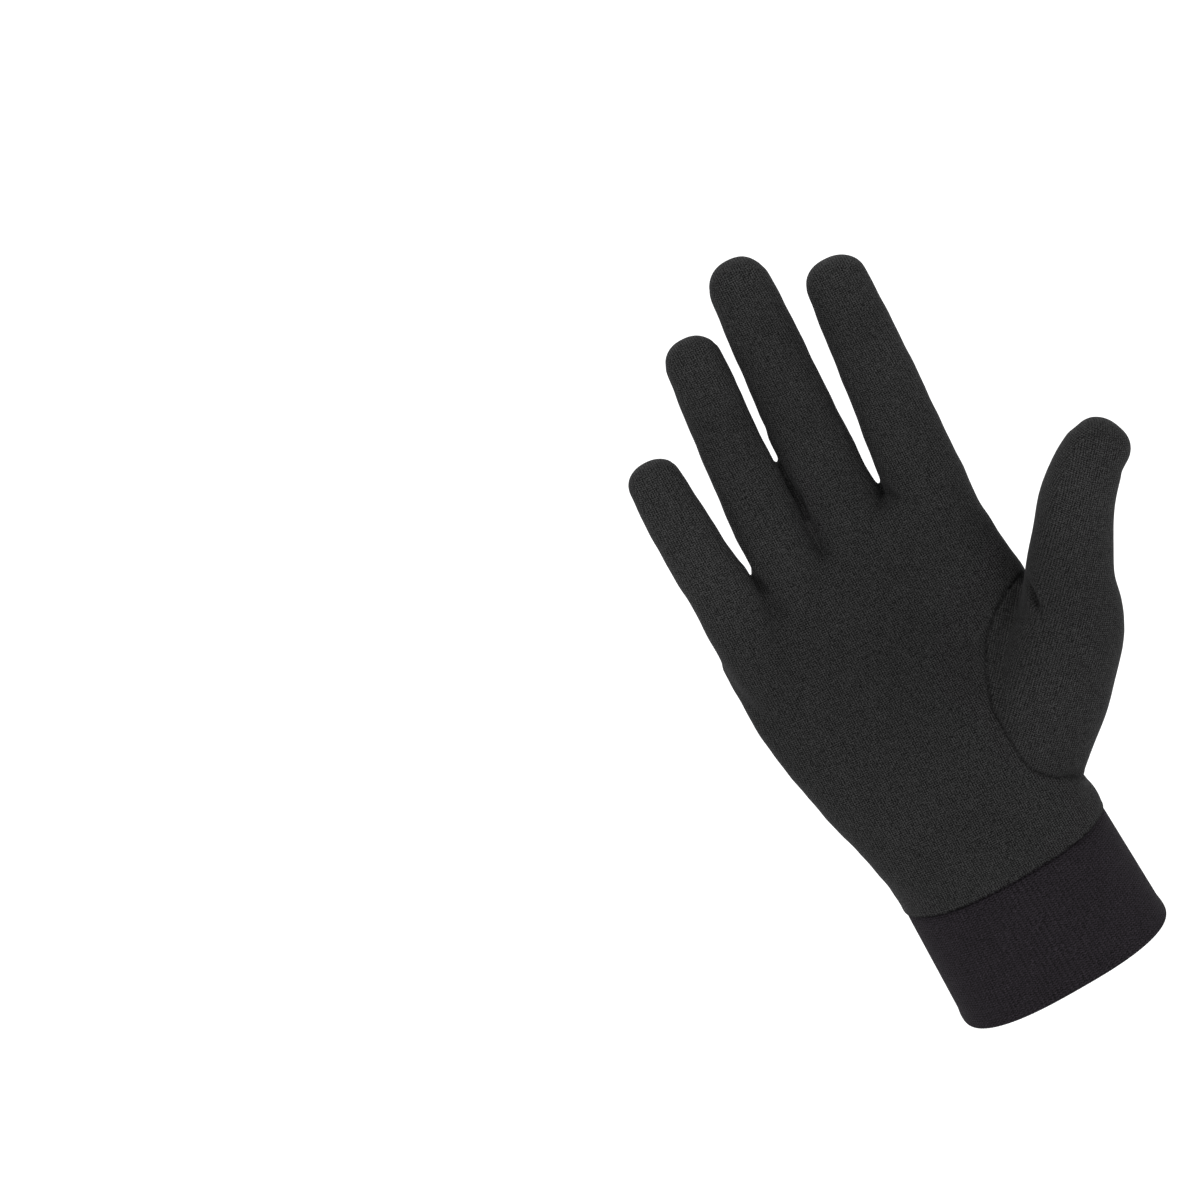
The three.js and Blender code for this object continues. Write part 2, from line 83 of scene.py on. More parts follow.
# A gusset's width at the crotch and at its points
FOURCHETTE_WIDTH = 11
FOURCHETTE_POINT = 2.4

# How finely the cloth is meshed: the voxels that the filled form is fused with, and how many times
# it is smoothed, all over and where it is eased most
VOXEL = 0.6
SMOOTHINGS, EASINGS = ((12, 150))
# The rings and sides that the forms are drawn out with
PALM_RINGS, FINGER_RINGS, THUMB_RINGS, TIP_RINGS = 34, 32, 30, 9
PALM_SIDES, FINGER_SIDES, THUMB_SIDES = 72, 40, 44
# The power of a section's outline: 2 is an ellipse, more is squarer.
PALM_POWER, FINGER_POWER, CUFF_POWER = 2.4, 2.2, 2.2
# How full a digit's end is (1 is a ball's), and how far round it the last ring stands
TIP_FULLNESS, TIP_ROUND = 0.8, 0.98


# Tables

def rows(names, *values):
    """A table of named columns."""
    return [dict(zip(names.split(), row)) for row in values]


def along(table, share, column):
    """The value at share in a table whose rows rise in share, smooth between them."""
    last = len(table) - 2
    i = next((k - 1 for k, row in enumerate(table) if row["share"] > share), last)
    i = min(max(i, 0), last)
    a, b = table[i], table[i + 1]
    before, after = table[max(i - 1, 0)], table[min(i + 2, len(table) - 1)]
    span = b["share"] - a["share"]
    t = (share - a["share"]) / span

    def slope(p, q):
        return (q[column] - p[column]) / (q["share"] - p["share"]) * span

    m, n = slope(before, b), slope(a, after)
    return ((2 * t**3 - 3 * t**2 + 1) * a[column] + (t**3 - 2 * t**2 + t) * m
            + (3 * t**2 - 2 * t**3) * b[column] + (t**3 - t**2) * n)


# The palm's sections: shares of its length, of its width to either side and of its depth to
# either side, how much of the front is hollowed, and the tilt in degrees
PALM = rows(
    "share ulnar radial front back hollow tilt",
    (0.08, 0.378, 0.345, 0.7, 0.67, 0, 0),
    (0.17, 0.4, 0.36, 0.64, 0.6, 0.03, 0),
    (0.3, 0.441, 0.4, 0.58, 0.55, 0.1, 0),
    (0.45, 0.48, 0.444, 0.53, 0.51, 0.15, 0),
    (0.6, 0.503, 0.498, 0.49, 0.48, 0.12, 2),
    (0.73, 0.509, 0.485, 0.45, 0.45, 0.06, 5),
    (0.83, 0.512, 0.479, 0.41, 0.42, 0.02, 8),
    (0.9, 0.5, 0.456, 0.36, 0.38, 0, 12),
    (0.97, 0.24, 0.37, 0.28, 0.3, 0, 12),
)
# How far across the hollow spreads, in half-widths
HOLLOW_SPREAD = 0.5

# Splay is in degrees, drop a share of the palm's length and arch of its depth. The root stands a
# little to one side, and the length bows a little.
FINGERS = rows(
    "name length width at drop arch splay root bow",
    ("index", 70.4, 21.0, 32.6, 0, -0.01, 4.5, -0.25, 0.4),
    ("middle", 85.1, 20.9, 7.3, 0.01, 0.05, 3.75, 0, 0),
    ("ring", 73.6, 19.4, -14.85, 0.035, 0.02, 4.0, 0, 0),
    ("little", 55.4, 18.1, -35.4, 0.11, -0.08, -1.7, 0.6, -0.6),
)

# A finger's sections: shares of its length, its width and its depth
FINGER_OUTLINE = rows(
    "share wide deep",
    (-0.5, 0.9, 1.0),
    (-0.26, 1.12, 1.3),
    (-0.06, 1.16, 1.36),
    (0.1, 1.12, 1.18),
    (0.3, 1.055, 1.04),
    (0.55, 1.0, 1.0),
    (0.75, 0.95, 0.93),
    (0.88, 0.9, 0.84),
)
# The share of a finger's length where its rounded end starts
FINGER_TIP = 0.88
# Where along a finger its root stands aside, and over how much of it
ROOT_AT, ROOT_SPREAD = 0.17, 0.15

# The thumb's sections: across and up in shares of the palm, out and rise in shares of the thumb's
# length, wide and deep in shares of its width and depth
THUMB = rows(
    "share across up out rise forward wide deep",
    (0, 0.216, 0.19, 0, 0, 0.15, 1.3, 1.3),
    (0.144, 0.339, 0.312, 0, 0, 0.32, 1.48, 1.46),
    (0.314, 0.472, 0.433, 0, 0, 0.55, 1.45, 1.42),
    (0.415, 0.55, 0.51, 0, 0, 0.72, 1.34, 1.3),
    (0.518, 0.603, 0.604, 0, 0, 0.87, 1.14, 1.12),
    (0.633, 0.603, 0.604, 0.12, 0.2, 0.95, 1.01, 1.02),
    (0.761, 0.603, 0.604, 0.272, 0.412, 1, 0.93, 0.95),
    (0.88, 0.603, 0.604, 0.442, 0.562, 1, 0.83, 0.84),
    (0.925, 0.603, 0.604, 0.528, 0.598, 1, 0.76, 0.76),
)
# Where the thumb's rounded end starts, and how long it is, in shares of the thumb's length
THUMB_TIP = 0.925
THUMB_TIP_REACH = 0.136

# The gaps between neighbouring fingers, from where they end: across, up and half-width
GAPS = (
    ((20.4, 151.5, 0.35), (20.2, 154.5, 0.7), (20.2, 157.3, 0.9), (20.4, 160.4, 1.1),
     (20.7, 163.4, 1.25), (20.9, 166.4, 1.4)),
    ((-2.8, 172.5, 0.8), (-2.75, 178, 0.87), (-2.65, 181, 0.88), (-2.45, 184, 0.9),
     (-2.2, 186.5, 0.95), (-1.9, 189.2, 1.1), (-1.5, 195, 1.1), (-0.85, 201, 1.1)),
    ((-25.15, 147.5, 0.7), (-25.2, 152, 0.8), (-25.5, 156.7, 0.95), (-25.7, 159.5, 1.2)),
)
GAP_DEPTH = 30

# Places across and up where the form is eased most, and how far round them, down to a least weight
EASED = ((-45.5, 130, 8), (43, 137, 9), (67, 99, 9))
LEAST_EASED = 0.05

# The thumb's seam and, inside the palm, the heart that its cutter spreads from: shares of the
# palm's width, length and depth, from the middle of the cuff's seam
HEART = (0.12, 0.38, 0.15)
THUMB_SEAM = (
    (0.497, 0.643, -0.05), (0.469, 0.665, -0.25), (0.415, 0.667, -0.4), (0.345, 0.632, -0.47),
    (0.28, 0.573, -0.5), (0.207, 0.438, -0.53), (0.19, 0.33, -0.56), (0.204, 0.232, -0.6),
    (0.25, 0.163, -0.62), (0.32, 0.121, -0.45), (0.35, 0.086, -0.15), (0.351, 0.085, 0.12),
    (0.35, 0.17, 0.36), (0.37, 0.28, 0.42), (0.41, 0.4, 0.4), (0.455, 0.52, 0.3),
    (0.49, 0.61, 0.14),
)
SEAM_STEPS = 6
# Past the thumb's crotch its cutter is a block: how far across its inner face is, at which height
CROTCH_PLANE = ((46.5, 0.45), (46.5, 0.66), (48.5, 0.74), (54, 1.2))

# The gussets, by the fingers that they join. Their outline is in shares of a finger's length and
# of the gusset's width, and where web is 1 the gusset reaches across to the other finger.
FOURCHETTES = (("index_middle", 0, 1), ("middle_ring", 1, 2), ("ring_little", 2, 3))
FOURCHETTE_OUTLINE = rows(
    "share width web",
    (-0.12, 1, 1),
    (0.05, 1, 1),
    (0.3, 0.8, 0),
    (0.6, 0.55, 0),
    (0.93, 0, 0),
)
# Elsewhere a gusset's cutter reaches this far out, in half-widths of the finger.
PAST_SKIN = 1.12

# Where the thumb's crotch is, across and up, and how far round it the seam is pulled flat
THUMB_CROTCH = (46, 111)
CROTCH_FLAT = 7

# Folds: how wide they are, and places across and up the hand with how deep the fold is there. Up
# is counted square to a look at the palm from this many degrees above the level.
FOLDS_SEEN_FROM = 22.5
# The cloth rises beside a fold: by this share of its depth, this many widths away, and this wide.
FOLD_RISE, FOLD_RISE_AT, FOLD_RISE_WIDE = 0.25, 2.2, 0.9
PALM_FOLDS = (
    (0.8, ((20.5, 150.8, 0.4), (21.3, 147.5, 0.9), (22.3, 145, 0.5), (23.2, 143, 0.1))),
    (0.7, ((-2.6, 168.5, 0.6), (-3.0, 162, 0.8), (-3.2, 156, 0.7), (-3.3, 151, 0.2))),
    (0.6, ((-1.9, 163, 0.2), (-2.0, 158, 0.8), (-2.6, 154, 0.8), (-3.2, 151, 0.3))),
    (1.0, ((-25.1, 145.5, 0.5), (-24.9, 143, 0.9), (-24.6, 140.5, 0.9), (-24.3, 137.5, 0.2))),
    (0.9, ((43.9, 105.8, 0.6), (43.6, 102, 1.6), (43.3, 98, 1.5), (43.0, 94.8, 0.3))),
    (1.5, ((27, 48.5, 0.3), (31.6, 47, 0.9), (38, 46, 1.2))),
)
BACK_FOLDS = (
    (1.0, ((20.4, 160, 0.6), (20.6, 156, 1.2), (21.0, 150, 0.2))),
    (1.0, ((-2.4, 178, 0.6), (-2.3, 171, 1.2), (-1.8, 160, 0.2))),
    (1.0, ((-25.6, 157, 0.6), (-25.2, 152, 1.2), (-24.6, 146, 0.2))),
)
# Fullness over the cuff's seam: centre across and up, how far it spreads, how far it stands out
FULLNESS = (34.5, 44.6, 3.2, 1.2)
# The slight unevenness of real cloth: how high its waves are, and for each of two crossing waves
# its turn in radians for each millimetre along X, Y and Z, and where it starts
WAVES = (
    (0.12, (0.19, 0, 0.11, 1), (-0.07, 0.2, 0.23, 0)),
    (0.07, (0.41, 0, -0.33, 2), (0, 0.29, 0.37, 0)),
)

# Painted highlights, where the cloth is painted paler as if lit: the share along a digit, how far
# that spreads, and how much it is
PAINTED_HIGHLIGHTS = rows(
    "digit share spread amount",
    ("index", 0.93, 13, 1),
    ("middle", 0.93, 13, 1),
    ("ring", 0.93, 13, 1),
    ("little", 0.93, 13, 1),
    ("index", 0.5, 22, 0.6),
    ("little", 0.5, 22, 1.5),
    ("thumb", 0.8, 18, 1.3),
)
# A painted highlight on the ball of the thumb, and painted shade in the middle of the palm: place,
# spread, amount
THUMB_BALL_HIGHLIGHT = ((30, -18, 80), 15, 0.7)
PALM_PAINTED_SHADE = ((0.04, 0.64, -0.5), 28, 0.8)

# Beside the thumb's seam the cloth is full by so much, so far off, so wide, and at it it is sunk.
SEAM_FULL, SEAM_FULL_AT, SEAM_FULL_WIDE = 0.1, 1.7, 0.8
THUMB_SEAM_SUNK, THUMB_SEAM_WIDE = 0.4, 0.6
SEAM_SUNK, SEAM_WIDE = 0.1, 0.8
# The line of the other seams is fainter, as if this much farther away.
SEAM_FAINTER = 0.45
# The hand's open edge this near its lower edge is no seam between pieces, but it has a seam's line,
# a little fainter: the dark join to the cuff, with painted shadow where the edge laps over it.
LOWER_EDGE = 0.5
LOWER_FAINTER = 0.1
# The cloth is meshed more finely within this of a seam.
SEAM_REACH = 2.2
# The most triangles in one side of one piece's cloth
SKIN_FACES = 92000
# A piece's vertices that a cut leaves nearer together than this are one, and so are the cuff's
# where its walls meet. Edges turn sharp past the smooth angle, in degrees.
WELD = 0.03
CUFF_WELD = 0.01
SMOOTH_ANGLE = 50
# The thumb's knit runs along the thumb, leaning this many degrees outwards.
THUMB_LEAN = 43
# How many times the copy that tells the cloth's sides apart is smoothed
SIDE_SMOOTHINGS = 60
# Cloth that faces up the finger more than this is laid from its tip.
TIP_FACING = 0.72

# The cuff's ribs: how many, how deep in the mesh, and the mesh's sides in each
RIBS = 148
RIB_DEPTH = 0.07
RIB_SIDES = 4

# The knits, at their real size. Column and course are how far apart the loops' columns and rows
# are: the rib's columns are the photograph's, and the jersey has about 14 to the centimetre, as
# fine jersey has. Crest is how high a column stands, in a wave that starts low in the jersey and
# high in the rib, and fuzz how high the yarn's loose fibres stand, in grains of so many
# millimetres. Middle is the height whose tone is the cloth's own, and contrast how fast the tone
# changes with height. Wash is how large the slow changes of the dye are, in millimetres.
KNITS = rows(
    "name column course crest wave fuzz grain middle contrast tone wash dark light rough sheen",
    ("black_jersey", 0.74, 0.6, 0.24, -0.5, 1.5, 0.3, 1.02, 1.8, 0.33, 22,
     "060606", "373737", 0.92, 0.07),
    ("black_rib", 1.19, 0.8, 0.12, 0.5, 1.3, 0.32, 0.86, 1.5, 0.35, 15,
     "070607", "2e2a2f", 0.95, 0.05),
)
# How high a loop stands, and how high the whole relief is in millimetres
LOOP = 0.3
RELIEF = 0.1

# Tools for shaping

UP = Vector((0, 0, 1))


def calm():
    """Leaves edit mode with nothing selected."""
    if bpy.context.object and bpy.context.object.mode != "OBJECT":
        bpy.ops.object.mode_set(mode="OBJECT")
    bpy.ops.object.select_all(action="DESELECT")


def pick(piece):
    """Makes one piece the only one selected, and the active one."""
    calm()
    piece.select_set(True)
    bpy.context.view_layer.objects.active = piece


def modify(piece, kind, **settings):
    """Adds a modifier with its settings and applies it."""
    pick(piece)
    modifier = piece.modifiers.new(kind.title(), kind)
    for name, value in settings.items():
        setattr(modifier, name, value)
    bpy.ops.object.modifier_apply(modifier=modifier.name)


def axes_to(tangent, axes):
    """The three directions of a ring after it has swung to a new direction."""
    return axes.col[2].rotation_difference(tangent).to_matrix() @ axes


def swing(axes, tangent, centre):
    """Swings what is selected to a new direction about a point, and gives its new directions."""
    old = axes.col[2].copy()
    turn = old.cross(tangent)
    if turn.length > 1e-7:
        turn.normalize()
        around = Matrix((old, turn.cross(old), turn)).transposed()
        bpy.ops.transform.rotate(value=old.angle(tangent), orient_axis="Z", orient_type="GLOBAL",
                                 orient_matrix=around, orient_matrix_type="GLOBAL",
                                 constraint_axis=(False, False, True), center_override=centre)
    return axes_to(tangent, axes)


def size_to(axes, centre, across, deep):
    """Sizes what is selected across and through, about a point."""
    bpy.ops.transform.resize(value=(across, deep, 1), orient_matrix=axes, orient_type="GLOBAL",
                             orient_matrix_type="GLOBAL", center_override=centre)


def drawn_out(name, stations, sides=0, power=FINGER_POWER):
    """A solid drawn out of a disc, or of a square with no sides given, through rings.

    A station of the rings is its centre, its direction, and its half-width across and through.
    """
    calm()
    if sides:
        bpy.ops.mesh.primitive_circle_add(vertices=sides, radius=1, fill_type="NGON")
    else:
        bpy.ops.mesh.primitive_plane_add(size=2)
    piece = bpy.context.object
    piece.name = name
    if sides:
        # The disc is made a little squarer, as filled cloth is.
        for v in piece.data.vertices:
            v.co = Vector([math.copysign(abs(c) ** (2 / power), c) for c in v.co])
    bpy.ops.object.mode_set(mode="EDIT")
    centre, tangent, across, deep = stations[0]
    centre = centre * MM
    axes = Matrix.Identity(3)
    size_to(axes, (0, 0, 0), across * MM, deep * MM)
    axes = swing(axes, tangent, (0, 0, 0))
    bpy.ops.transform.translate(value=centre)
    for place, tangent, wide, thick in stations[1:]:
        step = place * MM - centre
        bpy.ops.mesh.extrude_region_move(TRANSFORM_OT_translate={"value": step})
        centre = place * MM
        axes = swing(axes, tangent, centre)
        size_to(axes, centre, wide / across, thick / deep)
        across, deep = wide, thick
    bpy.ops.mesh.select_all(action="SELECT")
    bpy.ops.mesh.normals_make_consistent(inside=False)
    calm()
    return piece


def points_of(piece):
    """The places and the normals of a piece's vertices, in millimetres."""
    count = len(piece.data.vertices)
    co, normal = np.zeros(count * 3), np.zeros(count * 3)
    piece.data.vertices.foreach_get("co", co)
    piece.data.vertices.foreach_get("normal", normal)
    return co.reshape(-1, 3) / MM, normal.reshape(-1, 3)


def put_points(piece, points):
    piece.data.vertices.foreach_set("co", (points * MM).ravel())
    piece.data.update()


# The hand's form

def middle_y(z):
    """Where the hand's middle surface stands: it leans back, and the fingers curl forward."""
    slope = math.tan(math.radians(WRIST_LEAN))
    into = min(max(z - CUFF_LENGTH, 0), WRIST_BEND)
    past = max(z - CUFF_LENGTH - WRIST_BEND, 0)
    up = max(z - KNUCKLES, 0)
    lost = slope - math.tan(math.radians(WRIST_LEAN - FINGER_CURL))
    return slope * (into**2 / (2 * WRIST_BEND) + past) - lost * up**2 / (2 * FINGERS[1]["length"])


def cuff_size(z, inset):
    """Half the width and half the depth of the cuff at a height."""
    taper = CUFF_TAPER * z / CUFF_LENGTH
    return (CUFF_WIDTH - taper) / 2 - inset, (CUFF_DEPTH - taper) / 2 - inset


def cuff_middle(z):
    return Vector((-CUFF_SLANT * z / CUFF_LENGTH, 0, z))


def palm_stations():
    stations = []
    for z in (HAND_BOTTOM - 2 * LAP, HAND_BOTTOM, HAND_BOTTOM + LAP):
        half, deep = cuff_size(z, SEAM_PINCH - SEAM_GAP - HAND_WALL)
        stations.append((cuff_middle(z), UP, half, deep))
    for i in range(PALM_RINGS + 1):
        share = PALM[0]["share"] + (PALM[-1]["share"] - PALM[0]["share"]) * i / PALM_RINGS
        row = {column: along(PALM, share, column) for column in PALM[0]}
        z = CUFF_LENGTH + share * PALM_LENGTH
        tilt = math.radians(row["tilt"])
        x = (row["radial"] - row["ulnar"]) / 2 * PALM_WIDTH
        y = middle_y(z) + (row["back"] - row["front"]) / 2 * PALM_DEPTH
        half = (row["radial"] + row["ulnar"]) / 2 * PALM_WIDTH
        deep = (row["back"] + row["front"]) / 2 * PALM_DEPTH
        tangent = Vector((-math.sin(tilt), 0, math.cos(tilt)))
        stations.append((Vector((x, y, z)), tangent, half, deep))
    return stations


def dish(palm):
    """Presses the hollow into the palm's side."""
    points, _ = points_of(palm)
    for point in points:
        share = (point[2] - CUFF_LENGTH) / PALM_LENGTH
        if not PALM[0]["share"] < share < PALM[-1]["share"]:
            continue
        row = {column: along(PALM, share, column) for column in PALM[0]}
        middle = middle_y(point[2]) + (row["back"] - row["front"]) / 2 * PALM_DEPTH
        if point[1] < middle:
            x = (row["radial"] - row["ulnar"]) / 2 * PALM_WIDTH
            across = (point[0] - x) / ((row["radial"] + row["ulnar"]) / 2 * PALM_WIDTH)
            hollow = row["hollow"] * math.exp(-(across / HOLLOW_SPREAD) ** 2)
            point[1] = middle + (point[1] - middle) * (1 - hollow)
    put_points(palm, points)


def finger_point(finger, share):
    rise = share * finger["length"]
    z = KNUCKLES - finger["drop"] * PALM_LENGTH + rise
    x = finger["at"] + rise * math.tan(math.radians(finger["splay"]))
    x += finger["root"] * math.exp(-((share - ROOT_AT) / ROOT_SPREAD) ** 2)
    x += finger["bow"] * math.sin(math.pi * min(max(share, 0), 1))
    return Vector((x, middle_y(z) + finger["arch"] * PALM_DEPTH, z))


def finger_size(finger, share):
    wide, deep = (along(FINGER_OUTLINE, share, column) for column in ("wide", "deep"))
    return finger["width"] * wide / 2, finger["width"] * FINGER_FLATNESS * deep / 2


def thumb_point(share):
    at = {column: along(THUMB, share, column) for column in THUMB[0]}
    x = at["across"] * PALM_WIDTH + at["out"] * THUMB_LENGTH
    z = CUFF_LENGTH + at["up"] * PALM_LENGTH + at["rise"] * THUMB_LENGTH
    return Vector((x, middle_y(z) - at["forward"] * THUMB_FORWARD, z))


def thumb_size(share):
    wide, deep = (along(THUMB, share, column) for column in ("wide", "deep"))
    return THUMB_WIDTH * wide / 2, THUMB_WIDTH * THUMB_FLATNESS * deep / 2


def digit_point(name, share):
    if name == "thumb":
        return thumb_point(share)
    return finger_point(next(finger for finger in FINGERS if finger["name"] == name), share)


def tangent_of(point, share):
    return (point(share + 0.01) - point(share - 0.01)).normalized()


def digit_stations(point, size, first, tip, reach, steps):
    """Stations up a digit, then round its end, whose corners stay fuller than a ball's."""
    stations = []
    for i in range(steps + 1):
        share = first + (tip - first) * i / steps
        stations.append((point(share), tangent_of(point, share), *size(share)))
    base, tangent, half, deep = stations[-1]
    for i in range(1, TIP_RINGS + 1):
        angle = i / TIP_RINGS * TIP_ROUND * math.pi / 2
        narrow = math.cos(angle) ** TIP_FULLNESS
        centre = base + tangent * reach * math.sin(angle)
        stations.append((centre, tangent, half * narrow, deep * narrow))
    return stations


def filled_hand():
    """The whole hand as one filled form: palm, fingers and thumb fused with voxels."""
    parts = [drawn_out("palm", palm_stations(), PALM_SIDES, PALM_POWER)]
    dish(parts[0])
    for finger in FINGERS:
        stations = digit_stations(lambda share: finger_point(finger, share),
                                  lambda share: finger_size(finger, share),
                                  FINGER_OUTLINE[0]["share"], FINGER_TIP,
                                  (1 - FINGER_TIP) * finger["length"], FINGER_RINGS)
        parts.append(drawn_out(finger["name"], stations, FINGER_SIDES))
    stations = digit_stations(thumb_point, thumb_size, 0, THUMB_TIP,
                              THUMB_TIP_REACH * THUMB_LENGTH, THUMB_RINGS)
    parts.append(drawn_out("thumb_form", stations, THUMB_SIDES))
    pick(parts[0])
    for part in parts:
        part.select_set(True)
    bpy.ops.object.join()
    form = bpy.context.object
    form.name = "filled_hand"
    modify(form, "REMESH", mode="VOXEL", voxel_size=VOXEL * MM, adaptivity=0)
    # Voxels close a narrow gap, so each is opened down to its end.
    for gap in GAPS:
        stations = [(Vector((across, middle_y(up), up)), UP, half, GAP_DEPTH / 2)
                    for across, up, half in gap]
        opening = drawn_out("gap", stations)
        modify(form, "BOOLEAN", operation="DIFFERENCE", solver="MANIFOLD", object=opening)
        bpy.data.objects.remove(opening)
    modify(form, "REMESH", mode="VOXEL", voxel_size=VOXEL * MM, adaptivity=0)
    modify(form, "SMOOTH", factor=0.5, iterations=SMOOTHINGS)
    points, _ = points_of(form)
    eased = np.zeros(len(points))
    for across, up, spread in EASED:
        away = np.hypot(points[:, 0] - across, points[:, 2] - up)
        eased = np.maximum(eased, np.exp(-(away / spread) ** 2))
    group = form.vertex_groups.new(name="eased")
    for i in np.nonzero(eased > LEAST_EASED)[0]:
        group.add([int(i)], eased[i], "REPLACE")
    modify(form, "SMOOTH", factor=0.5, iterations=EASINGS, vertex_group="eased")
    form.vertex_groups.clear()
    return form


# Folds and dents pressed into the form

def to_fold(places, path):
    """How far each place is from a fold's line, and how deep the fold is at the nearest point."""
    near, deep = np.full(len(places), 1e9), np.zeros(len(places))
    for a, b in zip(path[:-1], path[1:]):
        start, step = np.array(a[:2]), np.array(b[:2]) - np.array(a[:2])
        t = np.clip((places - start) @ step / (step @ step), 0, 1)
        away = np.linalg.norm(places - start - t[:, None] * step, axis=1)
        deep = np.where(away < near, a[2] + (b[2] - a[2]) * t, deep)
        near = np.minimum(near, away)
    return near, deep


def add_values(piece, name, values):
    """Gives each vertex of a piece a value that its material reads."""
    attribute = piece.data.attributes.new(name, "FLOAT", "POINT")
    attribute.data.foreach_set("value", values.astype(np.float32))


def shape_form(form):
    """Presses folds into the form, gives the cloth the slight unevenness of real cloth, and gives
    its vertices the painted shade of the creases and the painted highlights and shade that its
    material reads.
    """
    points, normals = points_of(form)
    out = np.zeros(len(points))
    crease_shade = np.zeros(len(points))
    tilt = math.radians(FOLDS_SEEN_FROM)
    upward = np.array((0, math.sin(tilt), math.cos(tilt)))
    for folds, side in ((PALM_FOLDS, -1), (BACK_FOLDS, 1)):
        # A fold fades where the cloth turns away from its side, between 53 and 78 degrees.
        facing = np.clip(normals @ np.cross((1, 0, 0), upward) * -side * 2.5 - 0.5, 0, 1)
        places = np.stack((points[:, 0], points @ upward), axis=1)
        for wide, path in folds:
            near, deep = to_fold(places, path)
            beside = (near / wide - FOLD_RISE_AT) / FOLD_RISE_WIDE
            shape = np.exp(-(near / wide) ** 2) - FOLD_RISE * np.exp(-beside ** 2)
            out -= deep * shape * facing
            # Painted shade: the colour is darkened as far out as 0.7 of its width, and no more past
            # 1.3.
            dark = np.clip(deep, 0, 1) * np.clip((1.3 - near / wide) / 0.6, 0, 1)
            crease_shade = np.maximum(crease_shade, dark * facing)
    across, up, spread, rise = FULLNESS
    near = np.hypot(points[:, 0] - across, points[:, 2] - up)
    out += rise * np.exp(-(near / spread) ** 2)
    for high, (*one, start), (*other, begin) in WAVES:
        out += high * np.sin(points @ one + start) * np.sin(points @ other + begin)
    put_points(form, points + normals * out[:, None])
    add_values(form, "crease_shade", crease_shade)
    # Painted highlights on the digits and the ball of the thumb, less painted shade in the middle
    # of the palm
    highlights = [(digit_point(row["digit"], row["share"]), row["spread"], row["amount"])
            for row in PAINTED_HIGHLIGHTS] + [THUMB_BALL_HIGHLIGHT]
    painted_highlight_and_shade = np.zeros(len(points))
    for place, spread, amount in highlights:
        away = np.linalg.norm(points - np.array(place), axis=1)
        painted_highlight_and_shade = np.maximum(painted_highlight_and_shade, amount * np.exp(-(away / spread) ** 2))
    place, spread, amount = PALM_PAINTED_SHADE
    away = np.linalg.norm(points - np.array(seam_point(*place)), axis=1)
    add_values(form, "painted_highlight_and_shade", painted_highlight_and_shade - amount * np.exp(-(away / spread) ** 2))


# Cutters, which part the form at its seams

def seam_point(across, up, out):
    z = CUFF_LENGTH + up * PALM_LENGTH
    return Vector((across * PALM_WIDTH, middle_y(z) + out * PALM_DEPTH, z))


def closed_curve(points, steps):
    """Points on a smooth closed curve through points."""
    curve = []
    for i in range(len(points)):
        p0, p1, p2, p3 = (points[(i + k) % len(points)] for k in (-1, 0, 1, 2))
        for s in range(steps):
            t = s / steps
            curve.append(0.5 * ((2 * p1) + (p2 - p0) * t + (2 * p0 - 5 * p1 + 4 * p2 - p3) * t * t
                                + (3 * p1 - p0 - 3 * p2 + p3) * t**3))
    return curve


def thumb_cutter():
    """A cone out of the hand through the thumb's seam, with a block beyond the thumb's crotch."""
    # Far past the skin
    reach = 3 * PALM_WIDTH
    heart = seam_point(*HEART)
    loop = closed_curve([seam_point(*row) for row in THUMB_SEAM], SEAM_STEPS)
    middle = sum(loop, Vector()) / len(loop)
    calm()
    bpy.ops.mesh.primitive_cone_add(vertices=len(loop), radius1=1, depth=1, end_fill_type="TRIFAN")
    cone = bpy.context.object
    # The cone's tip goes to the heart, its rim out through the seam, its base's middle beyond.
    rim = [heart + (p - heart).normalized() * reach for p in loop]
    low = [v for v in cone.data.vertices if v.co.z < 0 and v.co.xy.length > 0.5]
    low.sort(key=lambda v: math.atan2(v.co.y, v.co.x))
    for v in cone.data.vertices:
        if v.co.z > 0:
            v.co = heart * MM
        elif v.co.xy.length < 0.5:
            v.co = (heart + (middle - heart).normalized() * reach) * MM
    for v, p in zip(low, rim):
        v.co = p * MM
    bpy.ops.object.mode_set(mode="EDIT")
    bpy.ops.mesh.select_all(action="SELECT")
    bpy.ops.mesh.normals_make_consistent(inside=False)
    calm()
    stations = []
    for x, up in CROTCH_PLANE:
        centre = Vector(((x + reach) / 2, 0, CUFF_LENGTH + up * PALM_LENGTH))
        stations.append((centre, UP, (reach - x) / 2, reach))
    block = drawn_out("crotch_block", stations)
    modify(cone, "BOOLEAN", operation="UNION", solver="EXACT", object=block)
    bpy.data.objects.remove(block)
    cone.name = "thumb_cutter"
    return cone


def fourchette_cutter(name, thumbward, outward):
    """The space round the facing sides of two fingers, joined across their crotch."""
    legs = []
    for finger, neighbour in ((thumbward, outward), (outward, thumbward)):
        towards = 1 if neighbour["at"] > finger["at"] else -1
        stations = []
        for row in FOURCHETTE_OUTLINE:
            share = row["share"]
            tangent = tangent_of(lambda s: finger_point(finger, s), share)
            side = (Vector((1, 0, 0)) - tangent * tangent.x).normalized()
            skin = PAST_SKIN * finger_size(finger, share)[0]
            far = abs(neighbour["at"] - finger["at"]) if row["web"] else skin
            deep = (FOURCHETTE_POINT + (FOURCHETTE_WIDTH - FOURCHETTE_POINT) * row["width"]) / 2
            centre = finger_point(finger, share) + side * towards * far / 2
            stations.append((centre, tangent, far / 2, deep))
        legs.append(drawn_out(name, stations))
    modify(legs[0], "BOOLEAN", operation="UNION", solver="EXACT", object=legs[1])
    bpy.data.objects.remove(legs[1])
    return legs[0]


